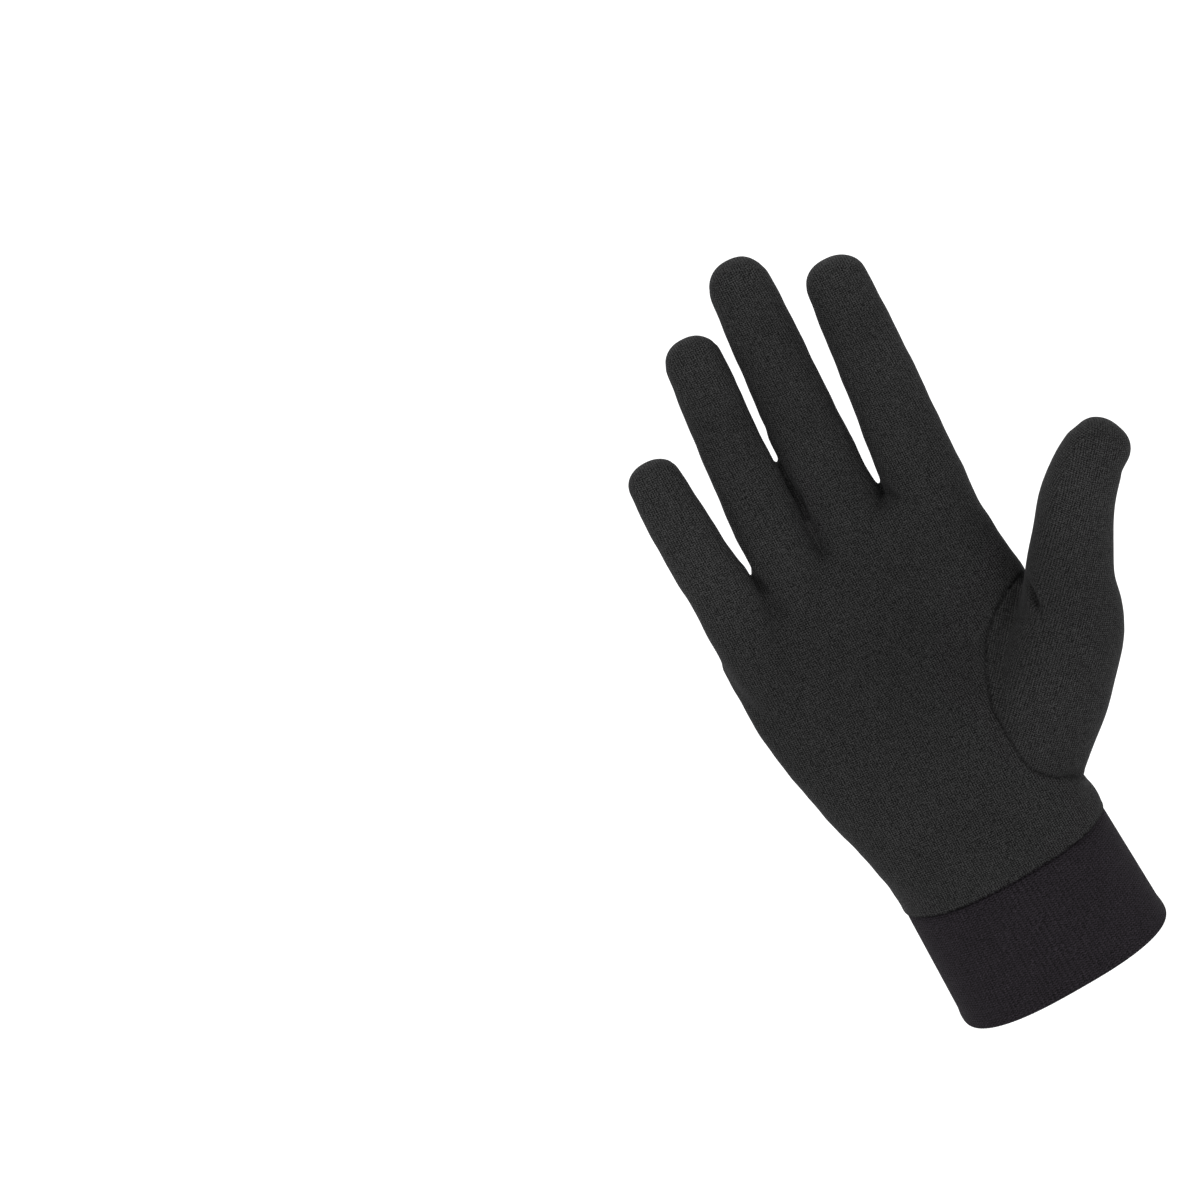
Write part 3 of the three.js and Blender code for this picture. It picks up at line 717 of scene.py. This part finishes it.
def mark_cutter(cutter):
    """Marks a cutter's faces, so that those that a cut leaves are known."""
    marks = cutter.data.attributes.new("cut", "BOOLEAN", "FACE")
    marks.data.foreach_set("value", np.ones(len(cutter.data.polygons), bool))


def select_faces(piece, chosen):
    """Selects some faces of a piece and goes into edit mode."""
    pick(piece)
    bpy.ops.object.mode_set(mode="EDIT")
    bpy.ops.mesh.select_mode(type="FACE")
    bpy.ops.mesh.select_all(action="DESELECT")
    bpy.ops.object.mode_set(mode="OBJECT")
    piece.data.polygons.foreach_set("select", chosen)
    bpy.ops.object.mode_set(mode="EDIT")


def parted(form, name, *steps):
    """A copy of the form cut by cutters, without the faces that the cuts leave."""
    piece = form.copy()
    piece.data = form.data.copy()
    piece.name = name
    bpy.context.collection.objects.link(piece)
    for operation, cutter in steps:
        modify(piece, "BOOLEAN", operation=operation, solver="MANIFOLD", object=cutter)
    marks = np.zeros(len(piece.data.polygons), bool)
    piece.data.attributes["cut"].data.foreach_get("value", marks)
    select_faces(piece, marks)
    bpy.ops.mesh.delete(type="FACE")
    bpy.ops.mesh.select_all(action="SELECT")
    bpy.ops.mesh.remove_doubles(threshold=WELD * MM)
    bpy.ops.mesh.bisect(plane_co=(0, 0, HAND_BOTTOM * MM), plane_no=(0, 0, 1), clear_inner=True)
    calm()
    piece.data.attributes.remove(piece.data.attributes["cut"])
    return piece


def open_edge(piece):
    """The places of the vertices on a piece's open edges, in millimetres."""
    mesh = piece.data
    of_corner = np.zeros(len(mesh.loops), int)
    mesh.loops.foreach_get("edge_index", of_corner)
    ends = np.zeros(len(mesh.edges) * 2, int)
    mesh.edges.foreach_get("vertices", ends)
    single = np.bincount(of_corner, minlength=len(mesh.edges)) == 1
    points, _ = points_of(piece)
    return points[np.unique(ends.reshape(-1, 2)[single])]


def nearest(points, targets):
    """For each point, which target is nearest and how far it is."""
    tree = KDTree(len(targets))
    for i, target in enumerate(targets):
        tree.insert(target, i)
    tree.balance()
    found = [tree.find(point)[1:] for point in points]
    return np.array([i for i, _ in found]), np.array([away for _, away in found])


def sew(piece, thumb_seam, form_points, form_normals):
    """Sinks a piece's seams, the thumb's with the cloth a little full beside it."""
    edge = open_edge(piece)
    seam = edge[edge[:, 2] > HAND_BOTTOM + LOWER_EDGE]
    centres = np.array([face.center for face in piece.data.polygons]) / MM
    _, away = nearest(centres, thumb_seam)
    select_faces(piece, away < SEAM_REACH)
    bpy.ops.mesh.subdivide(number_cuts=1)
    calm()
    points, _ = points_of(piece)
    _, away = nearest(points, thumb_seam)
    _, any_away = nearest(points, seam)
    by, _ = nearest(points, form_points)
    out = SEAM_FULL * np.exp(-((away - SEAM_FULL_AT) / SEAM_FULL_WIDE) ** 2)
    out -= THUMB_SEAM_SUNK * np.exp(-(away / THUMB_SEAM_WIDE) ** 2)
    from_crotch = np.linalg.norm(points[:, [0, 2]] - THUMB_CROTCH, axis=1)
    out *= 1 - np.exp(-(from_crotch / CROTCH_FLAT) ** 2)
    out -= SEAM_SUNK * np.exp(-(any_away / SEAM_WIDE) ** 2)
    put_points(piece, points + form_normals[by] * out[:, None])
    # The flat stretches need fewer faces than the seams and the folds.
    modify(piece, "TRIANGULATE")
    modify(piece, "DECIMATE", ratio=min(1, SKIN_FACES / len(piece.data.polygons)))
    points, _ = points_of(piece)
    _, away = nearest(points, thumb_seam)
    _, any_away = nearest(points, seam)
    seam_away = np.minimum(away, any_away + SEAM_FAINTER)
    # The lower edge's fainter line is the dark join to the cuff, with painted shadow where the edge
    # laps over it.
    above = points[:, 2] - HAND_BOTTOM + LOWER_FAINTER
    add_values(piece, "seam", np.minimum(seam_away, above))


def corner_table(piece):
    """For each face corner, its place, and its face's normal and first corner."""
    mesh = piece.data
    points, _ = points_of(piece)
    vertex = np.zeros(len(mesh.loops), int)
    mesh.loops.foreach_get("vertex_index", vertex)
    normal = np.zeros(len(mesh.polygons) * 3)
    mesh.polygons.foreach_get("normal", normal)
    total = np.zeros(len(mesh.polygons), int)
    mesh.polygons.foreach_get("loop_total", total)
    start = np.zeros(len(mesh.polygons), int)
    mesh.polygons.foreach_get("loop_start", start)
    return points[vertex], np.repeat(normal.reshape(-1, 3), total, axis=0), np.repeat(start, total)


def lay_map(piece, across, upward):
    """Gives each face corner its place across and along the knit, in millimetres."""
    layer = piece.data.uv_layers.new(name="knit")
    layer.data.foreach_set("uv", np.stack((across, upward), axis=1).ravel())


def lay_knit(piece, lean):
    """Lays the knit from the front, the side or the tip, leaning so many degrees outwards."""
    places, _, _ = corner_table(piece)
    # A smoother copy's faces tell the sides apart, so that the borders between them run clean.
    smoother = piece.copy()
    smoother.data = piece.data.copy()
    bpy.context.collection.objects.link(smoother)
    modify(smoother, "SMOOTH", factor=0.5, iterations=SIDE_SMOOTHINGS)
    _, normals, _ = corner_table(smoother)
    bpy.data.objects.remove(smoother)
    lean = math.radians(lean)
    across = np.array((math.cos(lean), 0, -math.sin(lean)))
    upward = np.array((math.sin(lean), 0, math.cos(lean)))
    sideways = np.abs(normals @ across) > np.abs(normals[:, 1])
    on_tip = np.abs(normals @ upward) > TIP_FACING
    lay_map(piece, np.where(sideways & ~on_tip, places[:, 1], places @ across),
            np.where(on_tip, places[:, 1], places @ upward))


def wall(piece, thick):
    """Gives a skin its thickness, inwards, and smooth shading."""
    modify(piece, "SOLIDIFY", thickness=thick * MM, offset=-1, use_rim=True)
    pick(piece)
    bpy.ops.object.shade_smooth_by_angle(angle=math.radians(SMOOTH_ANGLE))
    calm()


# The cuff

def cuff_stations():
    """Heights and half-sizes down the outer wall, round the folded hem and up the inner wall."""
    top = HAND_BOTTOM + LAP
    neck = HAND_BOTTOM - CUFF_NECK
    # Between the seam and the neck the wall swells out to its full size.
    outer = [(top, SEAM_PINCH), (HAND_BOTTOM, SEAM_PINCH), (HAND_BOTTOM - CUFF_NECK / 2, 0.5),
             (neck, 0.1)]
    fold = CUFF_WALL / 2 + HEM_SWELL
    low = 3 * fold
    rings = 18
    outer += [(neck + (low - neck) * i / rings, 0) for i in range(1, rings + 1)]
    hem = []
    hem_rings = 10
    for i in range(hem_rings + 1):
        angle = math.pi * i / hem_rings
        hem.append((fold * (1 - math.sin(angle)), CUFF_WALL / 2 - fold * math.cos(angle)))
    inner = [(low, CUFF_WALL), (CUFF_LENGTH / 2, CUFF_WALL), (neck, CUFF_WALL),
             (HAND_BOTTOM, SEAM_PINCH + CUFF_WALL), (top, SEAM_PINCH + CUFF_WALL)]
    return [(z, *cuff_size(z, inset)) for z, inset in outer + hem + inner]


def knitted_cuff():
    """The ribbed cuff: a ring of edges drawn down, folded under at the hem and drawn up inside."""
    calm()
    bpy.ops.mesh.primitive_circle_add(vertices=RIBS * RIB_SIDES, radius=1, fill_type="NOTHING")
    cuff = bpy.context.object
    cuff.name = "cuff_knit"
    half, deep = cuff_size(0, 0)
    for v in cuff.data.vertices:
        rib = math.atan2(v.co.y, v.co.x) * RIBS
        girth = (half * deep) ** 0.5
        squared = [math.copysign(abs(c) ** (2 / CUFF_POWER), c) for c in v.co]
        v.co = Vector(squared) * (1 + RIB_DEPTH / 2 * math.cos(rib) / girth)
    stations = cuff_stations()
    bpy.ops.object.mode_set(mode="EDIT")
    z, across, through = stations[0]
    centre = cuff_middle(z) * MM
    bpy.ops.mesh.select_mode(type="VERT")
    bpy.ops.mesh.select_all(action="SELECT")
    bpy.ops.transform.resize(value=(across * MM, through * MM, 1), center_override=(0, 0, 0))
    bpy.ops.transform.translate(value=centre)
    for z, wide, thick in stations[1:]:
        bpy.ops.mesh.extrude_region_move(
            TRANSFORM_OT_translate={"value": cuff_middle(z) * MM - centre})
        centre = cuff_middle(z) * MM
        bpy.ops.transform.resize(value=(wide / across, thick / through, 1),
                                 center_override=centre)
        across, through = wide, thick
    # The inner wall's top is drawn out to the outer wall's and joined to it.
    bpy.ops.mesh.extrude_region_move()
    bpy.ops.transform.resize(value=(stations[0][1] / across, stations[0][2] / through, 1),
                             center_override=centre)
    bpy.ops.mesh.select_all(action="SELECT")
    bpy.ops.mesh.remove_doubles(threshold=CUFF_WELD * MM)
    bpy.ops.mesh.normals_make_consistent(inside=False)
    calm()
    # Towards the hem the cuff is squarer, and hangs a little lower on the little finger's side.
    points, _ = points_of(cuff)
    low = np.clip(1 - points[:, 2] / HAND_BOTTOM, 0, 1)
    turn = np.arctan2(points[:, 1] / deep, points[:, 0] / half)
    points[:, :2] *= (1 + HEM_SQUARE * low * np.sin(2 * turn) ** 2)[:, None]
    points[:, 2] += HEM_TILT * points[:, 0] * low
    put_points(cuff, points)
    return cuff


def lay_rib(cuff):
    """A map in millimetres round the cuff, in step with its ribs, and up it."""
    places, _, first = corner_table(cuff)
    x = places[:, 0] + CUFF_SLANT * places[:, 2] / CUFF_LENGTH
    half, deep = cuff_size(0, 0)
    power = CUFF_POWER / 2
    turn = np.arctan2(np.sign(places[:, 1]) * np.abs(places[:, 1] / deep) ** power,
                      np.sign(x) * np.abs(x / half) ** power)
    # Corners across the half turn from their face's first corner are counted on past it.
    turn += 2 * math.pi * np.round((turn[first] - turn) / (2 * math.pi))
    lay_map(cuff, turn * RIBS * KNITS[1]["column"] / (2 * math.pi), places[:, 2])


# Camera and stage

def linear(hex_colour):
    """A colour written as sRGB hex, turned linear."""
    channels = [int(hex_colour[i:i + 2], 16) / 255 for i in (0, 2, 4)]
    return [c / 12.92 if c <= 0.04045 else ((c + 0.055) / 1.055) ** 2.4 for c in channels] + [1]


def node(tree, kind, inputs=(), **settings):
    """Adds a node with its settings, its inputs given values or links, and gives its outputs."""
    made = tree.nodes.new("ShaderNode" + kind)
    for name, value in settings.items():
        setattr(made, name, value)
    for socket, value in inputs.items() if isinstance(inputs, dict) else enumerate(inputs):
        if isinstance(value, bpy.types.NodeSocket):
            tree.links.new(value, made.inputs[socket])
        else:
            made.inputs[socket].default_value = value
    return made.outputs


def ripple(tree, place, spacing, wave=0.5):
    """A wave between 0 and 1 that repeats every so many millimetres."""
    turn = node(tree, "Math", (place, 2 * math.pi / spacing), operation="MULTIPLY")[0]
    turn = node(tree, "Math", (turn,), operation="COSINE")[0]
    return node(tree, "Math", (turn, wave, 0.5), operation="MULTIPLY_ADD")[0]


def knit(look):
    """A knitted material with its relief, the yarn's colour still unlinked.

    Gives the material, its shader, its object coordinates, the colour, and its slow shade.
    """
    material = bpy.data.materials.new(look["name"])
    material.use_nodes = True
    tree = material.node_tree
    shader = tree.nodes["Principled BSDF"]
    # Cotton is matt, and the ends of its fibres give its edges a soft, pale sheen.
    for socket, value in (("Roughness", look["rough"]), ("Specular IOR Level", 0.08),
                          ("Sheen Weight", look["sheen"]), ("Sheen Roughness", 0.45),
                          ("Sheen Tint", linear("8c8c90"))):
        shader.inputs[socket].default_value = value
    place = node(tree, "SeparateXYZ", (node(tree, "UVMap", uv_map="knit")[0],))
    across, upward = place[0], place[1]
    # The legs of each loop lean towards each other, so a row of loops is a row of Vs.
    column = node(tree, "Math", (across, look["column"]), operation="DIVIDE")[0]
    column = node(tree, "Math", (column,), operation="FRACT")[0]
    leg = node(tree, "Math", (column, 0.5), operation="SUBTRACT")[0]
    leg = node(tree, "Math", (leg,), operation="ABSOLUTE")[0]
    row = node(tree, "Math", (leg, look["course"], upward), operation="MULTIPLY_ADD")[0]
    loop = ripple(tree, row, look["course"])
    loop = node(tree, "Math", (loop, LOOP), operation="MULTIPLY")[0]
    crest = ripple(tree, across, look["column"], look["wave"])
    height = node(tree, "Math", (crest, look["crest"], loop), operation="MULTIPLY_ADD")[0]
    # Loose fibres break the loops up, so that the cloth looks soft.
    space = node(tree, "TexCoord")["Object"]
    fuzz = node(tree, "TexNoise", {"Vector": space, "Scale": 1 / (look["grain"] * MM),
                                   "Detail": 1}, noise_dimensions="3D")["Fac"]
    height = node(tree, "Math", (fuzz, look["fuzz"], height), operation="MULTIPLY_ADD")[0]
    bump = node(tree, "Bump", {"Height": height, "Distance": RELIEF * MM, "Strength": 1.0})[0]
    tree.links.new(bump, shader.inputs["Normal"])
    # The tops of the loops catch the light, and it is dark between them.
    tone = node(tree, "Math", (height, look["middle"]), operation="SUBTRACT")[0]
    tone = node(tree, "Math", (tone, look["contrast"], look["tone"]),
                operation="MULTIPLY_ADD")[0]
    # A colour mix's inputs 6 and 7 are its two colours, and its output 2 is what it gives.
    yarn = node(tree, "Mix", {0: tone, 6: linear(look["dark"]), 7: linear(look["light"])},
                data_type="RGBA")[2]
    # Dye and tension vary slowly over the cloth. This is coarser than the knit, as real dye is.
    wash = node(tree, "TexNoise", {"Vector": space, "Scale": 1 / (look["wash"] * MM),
                                   "Detail": 2}, noise_dimensions="3D")["Fac"]
    wash = node(tree, "Math", (wash, 0.3, 0.85), operation="MULTIPLY_ADD")[0]
    return material, shader, space, yarn, wash


def jersey():
    """Black fine-gauge jersey of cotton and elastane, which is matt and stretches."""
    material, shader, space, yarn, wash = knit(KNITS[0])
    tree = material.node_tree
    # The colour is painted paler on the fingertips, the thumb and the ball of the thumb, as if lit
    # there, and painted darker in the middle of the palm and in the creases, as painted shade.
    painted_highlight_and_shade = node(tree, "Attribute", attribute_name="painted_highlight_and_shade")["Fac"]
    shade = node(tree, "Math", (painted_highlight_and_shade, 0.22, wash), operation="MULTIPLY_ADD")[0]
    # Painted shade in the creases darkens the colour by up to a half.
    crease_shade = node(tree, "Attribute", attribute_name="crease_shade")["Fac"]
    crease_shade = node(tree, "Math", (crease_shade, -0.5, 1), operation="MULTIPLY_ADD")[0]
    shade = node(tree, "Math", (shade, crease_shade), operation="MULTIPLY")[0]
    yarn = node(tree, "VectorMath", {0: yarn, "Scale": shade}, operation="SCALE")[0]
    # The seams are a fine line where the edges turn in, broken by the loops of the thread; along
    # the hand's lower edge the line is the dark join to the cuff, with painted shadow where the
    # edge laps over it. The breaks are 0.9 mm, about the length of a stitch.
    seam = node(tree, "Attribute", attribute_name="seam")["Fac"]
    line = node(tree, "MapRange",
                {"Value": seam, "From Min": 0.25, "From Max": 0.8, "To Min": 1, "To Max": 0},
                interpolation_type="SMOOTHSTEP")[0]
    broken = node(tree, "TexNoise", {"Vector": space, "Scale": 1 / (0.9 * MM), "Detail": 0},
                  noise_dimensions="3D")["Fac"]
    broken = node(tree, "Math", (broken, 2.4, -0.55), operation="MULTIPLY_ADD")[0]
    line = node(tree, "Math", (line, broken), operation="MULTIPLY", use_clamp=True)[0]
    yarn = node(tree, "Mix", {0: line, 6: yarn, 7: linear("050505")}, data_type="RGBA")[2]
    tree.links.new(yarn, shader.inputs["Base Color"])
    return material


def rib():
    """Black doubled one-and-one rib of cotton and elastane, denser and more matt than jersey."""
    material, shader, _, yarn, wash = knit(KNITS[1])
    tree = material.node_tree
    yarn = node(tree, "VectorMath", {0: yarn, "Scale": wash}, operation="SCALE")[0]
    tree.links.new(yarn, shader.inputs["Base Color"])
    return material


# The photograph's frame: 0.293 mm to a pixel of 1200, the cuff's axis leaning 29 degrees to the
# left and seen from 22.5 degrees above the level. Across and up are the places, in the view's own
# plane, of the middle of the picture. The plane of that scale is 35 mm nearer than the origin. The
# lens is long, so the view is almost without perspective.
PIXEL = 0.293
PICTURE = 1200
ROLL = 29.0
ELEVATION = 22.5
LOOK_ACROSS = -67.8
LOOK_UP = 160.0
GLOVE_DEPTH = -35
LENS = 600
SENSOR = 36

# The stage, in metres and watts: where the paper lies, what the lamps point at, and each lamp's
# place, size and power
PAPER_SIZE = 30
PAPER_HEIGHT = -0.3
LAMPS_AIM = (0, 0, 0.12)
LAMPS = (
    ("key", (-0.9, -1.3, 1.5), 0.8, 14),
    ("fill", (1.4, -0.8, 0.6), 1.0, 6),
    ("back", (0.3, 1.4, 1.3), 1.0, 12),
)


def set_camera():
    tilt = math.radians(ELEVATION)
    right = Vector((1, 0, 0))
    up = Vector((0, math.sin(tilt), math.cos(tilt)))
    ahead = Vector((0, math.cos(tilt), -math.sin(tilt)))
    target = (right * LOOK_ACROSS + up * LOOK_UP + ahead * GLOVE_DEPTH) * MM
    distance = PIXEL * PICTURE * MM * LENS / SENSOR
    roll = math.radians(ROLL)
    x_axis = right * math.cos(roll) - up * math.sin(roll)
    y_axis = up * math.cos(roll) + right * math.sin(roll)
    calm()
    bpy.ops.object.camera_add()
    camera = bpy.context.object
    camera.name = "camera"
    camera.data.lens = LENS
    camera.data.sensor_width = SENSOR
    camera.data.clip_end = 50
    turned = Matrix((x_axis, y_axis, -ahead)).transposed().to_4x4()
    camera.matrix_world = Matrix.Translation(target - ahead * distance) @ turned
    bpy.context.scene.camera = camera


def set_stage():
    calm()
    bpy.ops.mesh.primitive_plane_add(size=PAPER_SIZE, location=(0, 0, PAPER_HEIGHT))
    floor = bpy.context.object
    floor.name = "floor"
    # Matt white studio paper
    paper = bpy.data.materials.new("white_paper")
    paper.use_nodes = True
    shader = paper.node_tree.nodes["Principled BSDF"]
    shader.inputs["Base Color"].default_value = linear("f6f6f6")
    shader.inputs["Roughness"].default_value = 1
    floor.data.materials.append(paper)
    scene = bpy.context.scene
    scene.view_settings.view_transform = "Standard"
    world = bpy.data.worlds.new("studio")
    scene.world = world
    world.use_nodes = True
    world.node_tree.nodes["Background"].inputs["Color"].default_value = linear("ffffff")
    world.node_tree.nodes["Background"].inputs["Strength"].default_value = 1.0
    for name, place, size, power in LAMPS:
        calm()
        bpy.ops.object.light_add(type="AREA", location=place)
        lamp = bpy.context.object
        lamp.name = name
        lamp.data.shape = "DISK"
        lamp.data.size = size
        lamp.data.energy = power
        aim = Vector(LAMPS_AIM) - Vector(place)
        lamp.rotation_euler = aim.to_track_quat("-Z", "Y").to_euler()


def lined_glove():
    """Makes the glove's pieces, each in the place of its node."""
    form = filled_hand()
    shape_form(form)
    form_points, form_normals = points_of(form)
    thumb_space = thumb_cutter()
    gussets = [fourchette_cutter("gusset_" + name, FINGERS[a], FINGERS[b])
               for name, a, b in FOURCHETTES]
    for cutter in [thumb_space] + gussets:
        mark_cutter(cutter)
    pieces = {"thumb": parted(form, "thumb_cloth", ("INTERSECT", thumb_space))}
    for (name, _, _), cutter in zip(FOURCHETTES, gussets):
        node_name = "fourchette_" + name
        pieces[node_name] = parted(form, node_name + "_cloth", ("INTERSECT", cutter))
    cuts = [("DIFFERENCE", cutter) for cutter in [thumb_space] + gussets]
    pieces["hand"] = parted(form, "hand_cloth", *cuts)
    for spare in [thumb_space] + gussets + [form]:
        bpy.data.objects.remove(spare)
    cloth = jersey()
    thumb_seam = open_edge(pieces["thumb"])
    for node_name, piece in pieces.items():
        sew(piece, thumb_seam, form_points, form_normals)
        lay_knit(piece, THUMB_LEAN if node_name == "thumb" else 0)
        wall(piece, HAND_WALL)
        piece.data.materials.clear()
        piece.data.materials.append(cloth)
    pieces["cuff"] = knitted_cuff()
    lay_rib(pieces["cuff"])
    pick(pieces["cuff"])
    bpy.ops.object.shade_smooth()
    pieces["cuff"].data.materials.append(rib())
    for node_name, piece in pieces.items():
        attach(piece, "root")
        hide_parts(node_name)


set_camera()
set_stage()
lined_glove()
